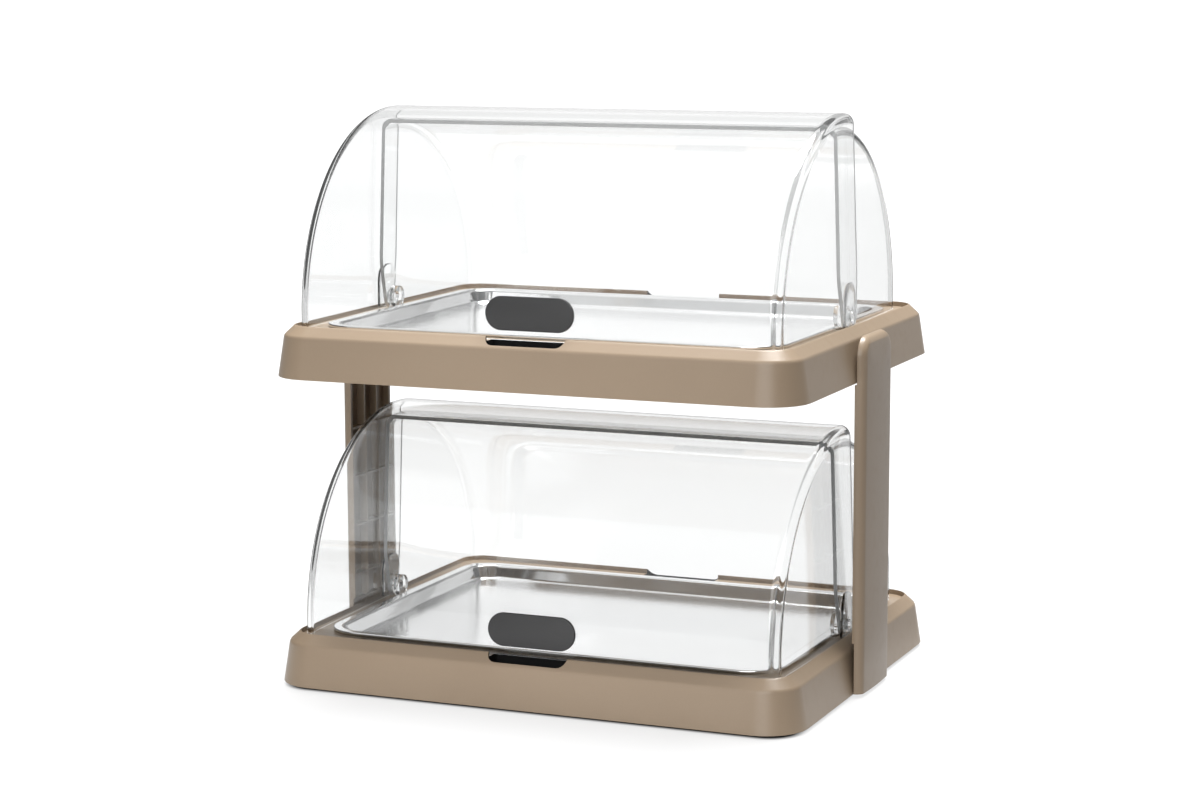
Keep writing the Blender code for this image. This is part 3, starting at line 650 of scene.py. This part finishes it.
# %% Grip plates
GRIP_LENGTH, GRIP_HEIGHT, GRIP_THICK = 0.073, 0.026, 0.0026
GRIP_ABOVE = 0.0576
GRIP_GAP = 0.0003
GRIP_EDGE = 0.0008
GRIP_ROWS = 14


def build_grip(name, pivot_z, centre_z, body, node):
    """Flat rounded strip with soft edges, wrapped round the front hood's drum."""
    bm = bmesh.new()
    bmesh.ops.create_grid(bm, x_segments=1, y_segments=1, size=0.5)
    bmesh.ops.scale(bm, vec=(GRIP_LENGTH, GRIP_HEIGHT, 1.0), verts=bm.verts)
    almost_half = GRIP_HEIGHT / 2.0 * 0.9999
    bmesh.ops.bevel(bm, geom=bm.verts[:], offset=almost_half, offset_type="OFFSET", segments=20,
                    profile=0.5, affect="VERTICES", material=-1)
    bmesh.ops.remove_doubles(bm, verts=bm.verts, dist=0.00002)
    raised = bmesh.ops.extrude_face_region(bm, geom=bm.faces[:])
    top = [item for item in raised["geom"] if isinstance(item, bmesh.types.BMVert)]
    bmesh.ops.translate(bm, verts=top, vec=(0.0, 0.0, GRIP_THICK))
    rim = [edge for edge in bm.edges if all(vert in top for vert in edge.verts)]
    bmesh.ops.bevel(bm, geom=rim, offset=GRIP_EDGE, offset_type="OFFSET", segments=4, profile=0.5,
                    affect="EDGES", material=-1)
    for row in range(1, GRIP_ROWS):
        level = GRIP_HEIGHT * (row / GRIP_ROWS - 0.5)
        bmesh.ops.bisect_plane(bm, geom=bm.verts[:] + bm.edges[:] + bm.faces[:], dist=0.000001,
                               plane_co=(0.0, level, 0.0), plane_no=(0.0, 1.0, 0.0))
    middle = math.asin((centre_z - pivot_z) / FRONT["radius"])
    for vert in bm.verts:
        radius = FRONT["radius"] + GRIP_GAP + vert.co.z
        angle = middle + vert.co.y / FRONT["radius"]
        vert.co = (vert.co.x, -radius * math.cos(angle), pivot_z + radius * math.sin(angle))
    grip = add_piece(name, bm, DARK, body, [node], smooth=35.0)
    return grip


for tier, base_z in TIERS.items():
    build_grip(f"{tier}_grip_plate_shell", base_z + PIVOT_ABOVE, base_z + GRIP_ABOVE,
               f"{tier}_front_cover", f"{tier}_grip_plate")

# %% [markdown]
# ## Pressed trays from inset steps
#
# A pressed steel tray is a rounded rectangle whose outline steps in and down. A loft through rings would do it, but
# Blender's inset makes each ring from the last one with the corners kept round, so a short path of (distance in,
# height) is all that has to be written down. The sheet gets its thickness from a modifier at the end.


# %% Ring helpers
def rounded_plate(bm, half_x, half_y, radius, z, steps=14):
    """One flat face with round corners."""
    made = bmesh.ops.create_grid(bm, x_segments=1, y_segments=1, size=1.0)
    bmesh.ops.scale(bm, vec=(half_x, half_y, 1.0), verts=made["verts"])
    bmesh.ops.translate(bm, vec=(0.0, 0.0, z), verts=made["verts"])
    rounded = bmesh.ops.bevel(bm, geom=made["verts"], offset=radius, offset_type="OFFSET", segments=steps,
                              profile=0.5, affect="VERTICES", material=-1)
    return max((face for face in bm.faces if face.verts[0] in rounded["verts"] or len(face.verts) > 4),
               key=lambda face: face.calc_area())


def step_to(bm, face, inset, rise):
    """Insets a face and lifts it, or only draws it straight up or down where the inset is zero."""
    if abs(inset) > 0.0000001:
        bmesh.ops.inset_region(bm, faces=[face], thickness=inset, use_even_offset=True, use_boundary=True)
    else:
        made = bmesh.ops.extrude_face_region(bm, geom=[face])
        if face.is_valid:
            bmesh.ops.delete(bm, geom=[face], context="FACES_ONLY")
        face = next(item for item in made["geom"] if isinstance(item, bmesh.types.BMFace))
    for vert in face.verts:
        vert.co.z += rise
    return face


def follow(bm, face, path):
    """Steps a face along a path of (distance in, height)."""
    for here, there in zip(path, path[1:]):
        face = step_to(bm, face, there[0] - here[0], there[1] - here[1])
    return face


print("ring helpers step a flat face in and down")

# %% [markdown]
# The tray's path starts at the lower end of its turned-down lip, goes over the flange, down the steep wall and onto
# the pan. The sheet's outer bends are tight, and the one from the flange into the wall is wide, as a press makes it.

# %% Steel trays
TRAY_X, TRAY_Y, TRAY_CORNER, TRAY_TOP = 0.1912, 0.1442, 0.0285, 0.0395
TRAY_DEPTH, TRAY_SHEET, TRAY_LIP = 0.0110, 0.0010, 0.0027
TRAY_FLANGE, TRAY_FOOT, TRAY_PAN = 0.0091, 0.0142, 0.0228
LIP_BEND, FLANGE_BEND, PAN_BEND = 0.0009, 0.0045, 0.0036


def build_tray(name, base_z, body, node):
    """Rounded rectangle stepped in and down along the tray's path, and given the sheet's thickness."""
    top = base_z + TRAY_TOP
    pan = top - TRAY_DEPTH
    path = fillet([(0.0, top - TRAY_LIP, 0.0), (0.0, top, LIP_BEND), (TRAY_FLANGE, top, FLANGE_BEND),
                   (TRAY_FOOT, pan, PAN_BEND), (TRAY_PAN, pan, 0.0)], 6)
    bm = bmesh.new()
    face = rounded_plate(bm, TRAY_X, TRAY_Y, TRAY_CORNER, path[0].y)
    follow(bm, face, path)
    tray = add_piece(name, bm, STEEL, body, [node], smooth=40.0)
    sheet = tray.modifiers.new("sheet", "SOLIDIFY")
    sheet.thickness = TRAY_SHEET
    sheet.offset = -1.0
    return tray


for tier, base_z in TIERS.items():
    build_tray(f"{tier}_steel_tray_shell", base_z, f"{tier}_tray", f"{tier}_steel_tray")

# %% [markdown]
# ## Moulded pieces with soft edges
#
# The CAD solids of the bases, columns, posts, packs and small parts have the right form, but their edges are
# perfectly sharp, and no real moulding has such edges: light always catches a thin line along them. Each of these
# nodes is copied, its loose triangles are merged into whole faces, and every sharp edge gets a small round. The
# faces keep their flat shading, because the normals are weighted by face size afterwards.
#
# The columns need one thing more. On the real object their outer face is slightly crowned with generous edges, so
# light falls off gently across it. The face is cut into narrow strips both ways, and each point is moved in by what
# the crown and the larger round take away at its distance from the outline.

# %% Crowned columns
COLUMN_HALF, COLUMN_TOP, COLUMN_ARCH = 0.036, 0.2845, 0.016
COLUMN_START, COLUMN_FACE = 0.2206, 0.228
CAD_ROUND, COLUMN_ROUND, COLUMN_CROWN = 0.0045, 0.0060, 0.0012
CROWN_STEP = 0.003


def column_inset(point):
    """Distance from the column's outline, seen from the side, to a point inside it."""
    across, up = abs(point.y) - COLUMN_HALF + COLUMN_ARCH, point.z - COLUMN_TOP + COLUMN_ARCH
    if across > 0.0 and up > 0.0:
        return COLUMN_ARCH - math.hypot(across, up)
    return COLUMN_ARCH - max(across, up)


def edge_drop(inset, radius):
    """How far a rounded edge has dropped from the face at an inset from the outline."""
    left = min(radius, max(0.0, radius - inset))
    return radius - math.sqrt(radius * radius - left * left)


def crown_column(bm):
    """Crowns the column's flat outer face and makes the round along its edges larger."""
    outer = [face for face in bm.faces if abs(face.calc_center_median().x) > COLUMN_FACE - WELD]
    steps = int(COLUMN_HALF / CROWN_STEP)
    cuts = [((0.0, CROWN_STEP * k, 0.0), (0.0, 1.0, 0.0)) for k in range(1 - steps, steps)]
    cuts += [((0.0, 0.0, COLUMN_TOP - CROWN_STEP * k), (0.0, 0.0, 1.0)) for k in range(1, steps + 1)]
    for place, normal in cuts:
        around = {vert for face in outer for vert in face.verts}
        around |= {edge for face in outer for edge in face.edges}
        cut = bmesh.ops.bisect_plane(bm, geom=list(around) + outer, dist=0.000001, plane_co=place,
                                     plane_no=normal)
        outer = [item for item in cut["geom"] if isinstance(item, bmesh.types.BMFace)]
    for vert in bm.verts:
        out = abs(vert.co.x)
        if out > COLUMN_START + 0.0001:
            inset = min(COLUMN_HALF, max(0.0, column_inset(vert.co)))
            drop = edge_drop(inset, COLUMN_ROUND) - edge_drop(inset, CAD_ROUND)
            drop += COLUMN_CROWN * ((COLUMN_HALF - inset) / COLUMN_HALF) ** 2
            vert.co.x = math.copysign(max(COLUMN_START, out - drop), vert.co.x)


print("the columns' faces are crowned by", COLUMN_CROWN * 1000.0, "mm in strips of", CROWN_STEP * 1000.0, "mm")

# %% [markdown]
# A finger recess in the middle of the front and rear rims lets a hand reach under the hood's edge. The recesses are
# narrow and deep, and no light comes back out of them, so the faces inside them get a near-black second material:
# painted shade. Painting the whole housing darker there would need a mask, and a face either is in a recess or isn't.


# %% Bases and columns
RECESS_HALF, RECESS_FROM, RECESS_TO = 0.0336, 0.1450, 0.1736
RECESS_FOOT, RECESS_TOP = 0.0190, 0.0412


def inside_recess(point, base_z):
    return (abs(point.x) < RECESS_HALF and RECESS_FROM < abs(point.y) < RECESS_TO
            and RECESS_FOOT < point.z - base_z < RECESS_TOP)


def paint_recess_shade(piece, base_z):
    """Gives the walls and floor of both finger recesses the near-black painted shade."""
    mesh = piece.data
    mesh.materials.append(RECESS_SHADE)
    shaded_faces = 0
    for face in mesh.polygons:
        if all(inside_recess(mesh.vertices[index].co, base_z) for index in face.vertices):
            face.material_index = 1
            shaded_faces += 1
    # The dark lining counted here is painted shade.
    print(piece.name, "has", shaded_faces, "faces of dark lining")


for tier, base_z in TIERS.items():
    moulding = softened(f"{tier}_base_housing", f"{tier}_base_moulding", TAUPE, "stand",
                        width=0.0005)
    # Painted shade in this tier's finger recesses.
    paint_recess_shade(moulding, base_z)
    softened(f"{tier}_bottom_plate", f"{tier}_bottom_plate_moulding", TAUPE, "stand")
for word in ("left", "right"):
    softened(f"{word}_column", f"{word}_column_moulding", TAUPE, "stand", width=0.0004,
             shape=crown_column)

# %% [markdown]
# The pivot posts are clear like the hoods, so that only their outline shows. The cooling packs under the trays, the
# screws and the feet are hidden in the picture, but come into sight when a tray is lifted or the object is turned.

# %% Posts, packs, screws and feet
for tier in TIERS:
    for word in ("left", "right"):
        softened(f"{tier}_{word}_pivot_post", f"{tier}_{word}_post_moulding", CLEAR, "stand",
                 width=0.0007)
        softened(f"{tier}_{word}_cooling_pack", f"{tier}_{word}_pack_bottle", PACK, "stand",
                 width=0.0008)
        for place in ("low", "high"):
            softened(f"{tier}_{word}_{place}_column_screw", f"{tier}_{word}_{place}_column_fixing", ZINC, "stand",
                     width=0.0001)
        for end in ("front", "rear"):
            softened(f"{tier}_{end}_{word}_plate_screw", f"{tier}_{end}_{word}_plate_fixing", ZINC, "stand",
                     width=0.0001)
for word in ("left", "right"):
    for end in ("front", "rear"):
        softened(f"{end}_{word}_foot", f"{end}_{word}_foot_pad", RUBBER, "stand", width=0.0004)

# %% [markdown]
# ## The studio
#
# The floor is white and reaches far back, so the camera sees nothing else behind the display. What the camera, a
# mirrored ray or a ray through a clear hood sees of it is partly emission and partly paint. So it stays white under
# the soft shadow and still shows that shadow. A floor of paint alone would need lamps that burn out the object.

# %% Floor
FLOOR_HALF = 60.0

floor_bm = bmesh.new()
bmesh.ops.create_grid(floor_bm, x_segments=1, y_segments=1, size=FLOOR_HALF)
floor_mesh = bpy.data.meshes.new("studio_floor")
floor_bm.to_mesh(floor_mesh)
floor_bm.free()
floor = bpy.data.objects.new("studio_floor", floor_mesh)
bpy.context.scene.collection.objects.link(floor)
floor_mat, tree, floor_shader = start_material("studio_floor_paint", (0.80, 0.80, 0.80), 0.9, specular=0.0)
floor_shader.inputs["Emission Color"].default_value = (1.0, 1.0, 1.0, 1.0)
floor_mesh.materials.append(floor_mat)
print("floor", 2 * FLOOR_HALF, "m across")

# %% [markdown]
# Clear plastic shows only what it mirrors and bends, and in front of nothing but white it would vanish. So for
# mirrored and bent rays two dark cards lie on the floor beside and behind the display, to the right and to the left
# of what the camera sees straight through the hoods. They draw the dark outlines of the hoods. Cards that are
# objects would do the same, but the camera would see them too. Under the display, in a rounded rectangle, the floor
# doesn't glow: that is a painted contact shadow, and it leaves the thin dark line along the lowest edge.

# %% Cards on the floor and a painted shadow under the display
RIGHT_SLANT, RIGHT_FROM, RIGHT_FULL, RIGHT_GREY = 0.24, 0.27, 0.33, 0.33
LEFT_SLANT, LEFT_FROM, LEFT_FULL, LEFT_GREY = 0.85, -0.29, -0.36, 0.20
LEFT_FRONT_END, LEFT_FRONT_FULL = -0.10, 0.0
# Painted contact shadow: the rounded rectangle under the display where the floor's glow is taken away, and its fade.
SHADOW_HALF_X, SHADOW_HALF_Y, SHADOW_FADE_FROM, SHADOW_FADE_TO = 0.190, 0.150, 0.022, 0.028

floor_path = add_node(tree, "ShaderNodeLightPath")
by_camera = floor_path.outputs["Is Camera Ray"]
floor_place = add_node(tree, "ShaderNodeSeparateXYZ")
tree.links.new(add_node(tree, "ShaderNodeTexCoord").outputs["Object"], floor_place.inputs[0])
floor_x, floor_y = floor_place.outputs["X"], floor_place.outputs["Y"]


def slanted(slant):
    """Distance to the right that a card's edge is measured by, slanted behind the display."""
    behind = math_node(tree, "MAXIMUM", floor_y, 0.0)
    return math_node(tree, "ADD", floor_x, math_node(tree, "MULTIPLY", behind, slant))


right_card = remap(tree, slanted(RIGHT_SLANT), RIGHT_FROM, RIGHT_FULL, 1.0, RIGHT_GREY)
left_card = remap(tree, slanted(LEFT_SLANT), LEFT_FULL, LEFT_FROM, LEFT_GREY, 1.0)
left_card = math_node(tree, "MAXIMUM", left_card,
                      remap(tree, floor_y, LEFT_FRONT_END, LEFT_FRONT_FULL, 1.0, LEFT_GREY))
cards = math_node(tree, "MAXIMUM", math_node(tree, "MULTIPLY", right_card, left_card), by_camera)

# Painted contact shadow: 0 inside the rounded rectangle under the display, 1 just past it.
off_centre = math_node(tree, "ABSOLUTE", floor_x, 0.0)
past_x = math_node(tree, "MAXIMUM", math_node(tree, "SUBTRACT", off_centre, SHADOW_HALF_X), 0.0)
off_back = math_node(tree, "ABSOLUTE", floor_y, 0.0)
past_y = math_node(tree, "MAXIMUM", math_node(tree, "SUBTRACT", off_back, SHADOW_HALF_Y), 0.0)
squares = math_node(tree, "ADD", math_node(tree, "POWER", past_x, 2.0), math_node(tree, "POWER", past_y, 2.0))
outside_painted_shadow = remap(tree, math_node(tree, "SQRT", squares, 0.0), SHADOW_FADE_FROM, SHADOW_FADE_TO, 0.0, 1.0)
print("cards right of", RIGHT_FULL, "m and left of", LEFT_FULL, "m, at levels", RIGHT_GREY, "and", LEFT_GREY)

# %% [markdown]
# For a ray that sees the floor, the glow and the paint add up to white. For every other ray the floor is paint
# only: bright in a strip in the middle, which throws light up under the tiers, and dark grey further out, so that
# the sides of the bases keep their shade.

# %% What the floor gives back
EMITTED, EMITTED_FOR_CAMERA, PAINTED = 0.62, 0.11, 0.22
STRIP_HALF, STRIP_END, STRIP_LEVEL, PAPER_LEVEL = 0.14, 0.26, 0.88, 0.08

seen = math_node(tree, "MAXIMUM", by_camera, floor_path.outputs["Is Transmission Ray"])
seen = math_node(tree, "MAXIMUM", seen, floor_path.outputs["Is Glossy Ray"])
glow = math_node(tree, "ADD", math_node(tree, "MULTIPLY", seen, EMITTED),
                 math_node(tree, "MULTIPLY", by_camera, EMITTED_FOR_CAMERA))
# The glow is taken away under the display, which paints the contact shadow there.
glow = math_node(tree, "MULTIPLY", math_node(tree, "MULTIPLY", glow, cards), outside_painted_shadow)
tree.links.new(glow, floor_shader.inputs["Emission Strength"])
thrown = remap(tree, off_centre, STRIP_HALF, STRIP_END, STRIP_LEVEL, PAPER_LEVEL)
thrown = math_node(tree, "MULTIPLY", math_node(tree, "SUBTRACT", 1.0, seen), thrown)
tree.links.new(math_node(tree, "ADD", math_node(tree, "MULTIPLY", seen, PAINTED), thrown),
               floor_shader.inputs["Base Color"])
print("the floor emits", EMITTED, "and paints", PAINTED, "of the white that is seen")

# %% [markdown]
# Two lamps that are very far away light everything evenly: a wide one almost overhead, a little to the rear, and a
# weaker one from the front that comes in low. Near lamps would be closer to a real studio, but their light would
# fall off between the tiers.


# %% Lamps
def far_lamp(name, azimuth, elevation, strength, spread):
    """Distant lamp at an azimuth from the front, clockwise seen from above, and at an elevation, in degrees."""
    data = bpy.data.lights.new(name, "SUN")
    data.energy = strength
    data.angle = math.radians(spread)
    lamp = bpy.data.objects.new(name, data)
    a, e = math.radians(azimuth), math.radians(elevation)
    towards = Vector((-math.sin(a) * math.cos(e), -math.cos(a) * math.cos(e), math.sin(e)))
    lamp.rotation_mode = "QUATERNION"
    lamp.rotation_quaternion = towards.to_track_quat("Z", "Y")
    bpy.context.scene.collection.objects.link(lamp)
    print(name, "at", azimuth, elevation, "strength", strength)
    return lamp


far_lamp("overhead_softbox", 180.0, 74.0, 6.1, 38.0)
far_lamp("front_fill", -13.0, 24.0, 1.52, 50.0)

# %% [markdown]
# What clear plastic and steel look like depends on what they mirror. The sky of this studio is plain for the light
# that falls on the object, only dimmer towards the two sides. For mirrored and refracted rays it has the shape of a
# studio: white near the horizon where the paper sweeps up, a little darker above that, then a wide white softbox
# over the object, and a darker room in front. Dark cards stand at both sides, as photographers use them to draw
# the outline of clear things. SKY_STEPS goes over the top, from the rear horizon at 0 to the front one at 1, and
# SIDE_STEPS and PLAIN_STEPS go from the far left at 0 to the far right at 1. Each step is (position, level).

# %% World
SKY_STEPS = [(0.0, 1.0), (0.12, 1.0), (0.145, 0.76), (0.31, 0.72), (0.33, 1.0), (0.58, 1.0),
             (0.61, 0.74), (0.85, 0.62), (1.0, 0.55)]
SIDE_STEPS = [(0.0, 0.10), (0.225, 0.15), (0.243, 0.90), (0.275, 0.95), (0.30, 1.0), (0.372, 1.0),
              (0.385, 0.25), (0.60, 0.25), (0.63, 0.52), (0.72, 0.52), (0.75, 0.15), (1.0, 0.08)]
PLAIN_STEPS = [(0.0, 0.10), (0.25, 0.24), (0.42, 0.62), (0.58, 0.52), (0.75, 0.14), (1.0, 0.04)]

world = bpy.data.worlds.new("studio_world")
bpy.context.scene.world = world
world.use_nodes = True
sky = world.node_tree
background = sky.nodes["Background"]
heading = add_node(sky, "ShaderNodeSeparateXYZ")
sky.links.new(add_node(sky, "ShaderNodeTexCoord").outputs["Generated"], heading.inputs[0])


def sky_ramp(value, steps):
    """Colour ramp of grey (position, level) steps over a value from 0 to 1."""
    node = add_node(sky, "ShaderNodeValToRGB")
    sky.links.new(value, node.inputs["Fac"])
    elements = node.color_ramp.elements
    (first, first_level), (last, last_level) = steps[0], steps[-1]
    elements[0].position, elements[0].color = first, (first_level, first_level, first_level, 1.0)
    elements[1].position, elements[1].color = last, (last_level, last_level, last_level, 1.0)
    for position, level in steps[1:-1]:
        elements.new(position).color = (level, level, level, 1.0)
    return node.outputs["Color"]


over = math_node(sky, "DIVIDE", math_node(sky, "ARCTAN2", heading.outputs["Z"], heading.outputs["Y"]), math.pi)
across = remap(sky, heading.outputs["X"], -1.0, 1.0, 0.0, 1.0)
mirrored = math_node(sky, "MULTIPLY", sky_ramp(over, SKY_STEPS), sky_ramp(across, SIDE_STEPS))
sky_path = add_node(sky, "ShaderNodeLightPath")
not_plain = math_node(sky, "MAXIMUM", sky_path.outputs["Is Glossy Ray"], sky_path.outputs["Is Transmission Ray"])
sky_level = add_node(sky, "ShaderNodeMix", data_type="FLOAT")
plain_level, mirrored_level = sky_level.inputs[2], sky_level.inputs[3]
sky.links.new(not_plain, sky_level.inputs["Factor"])
sky.links.new(sky_ramp(across, PLAIN_STEPS), plain_level)
sky.links.new(mirrored, mirrored_level)
sky.links.new(math_node(sky, "MAXIMUM", sky_path.outputs["Is Camera Ray"], sky_level.outputs[0]),
              background.inputs["Strength"])
background.inputs["Color"].default_value = (1.0, 1.0, 1.0, 1.0)
print("world with", len(SKY_STEPS), "steps over the top and", len(SIDE_STEPS), "from side to side")

# %% [markdown]
# A ray that looks through a closed cover crosses four surfaces or more, and some rays are mirrored inside a wall
# many times. With the usual number of bounces they would end black, so they get more. Caustics and very bright
# indirect samples only add specks, so the first are off and the second are held down.

# %% Render choices that belong to the look
BOUNCES = 24
BRIGHTEST_INDIRECT = 4.0

scene = bpy.context.scene
scene.view_settings.view_transform = "Standard"
scene.cycles.max_bounces = BOUNCES
scene.cycles.transmission_bounces = BOUNCES
scene.cycles.transparent_max_bounces = BOUNCES
scene.cycles.caustics_reflective = False
scene.cycles.caustics_refractive = False
scene.cycles.sample_clamp_indirect = BRIGHTEST_INDIRECT
print("rays may bounce", BOUNCES, "times")
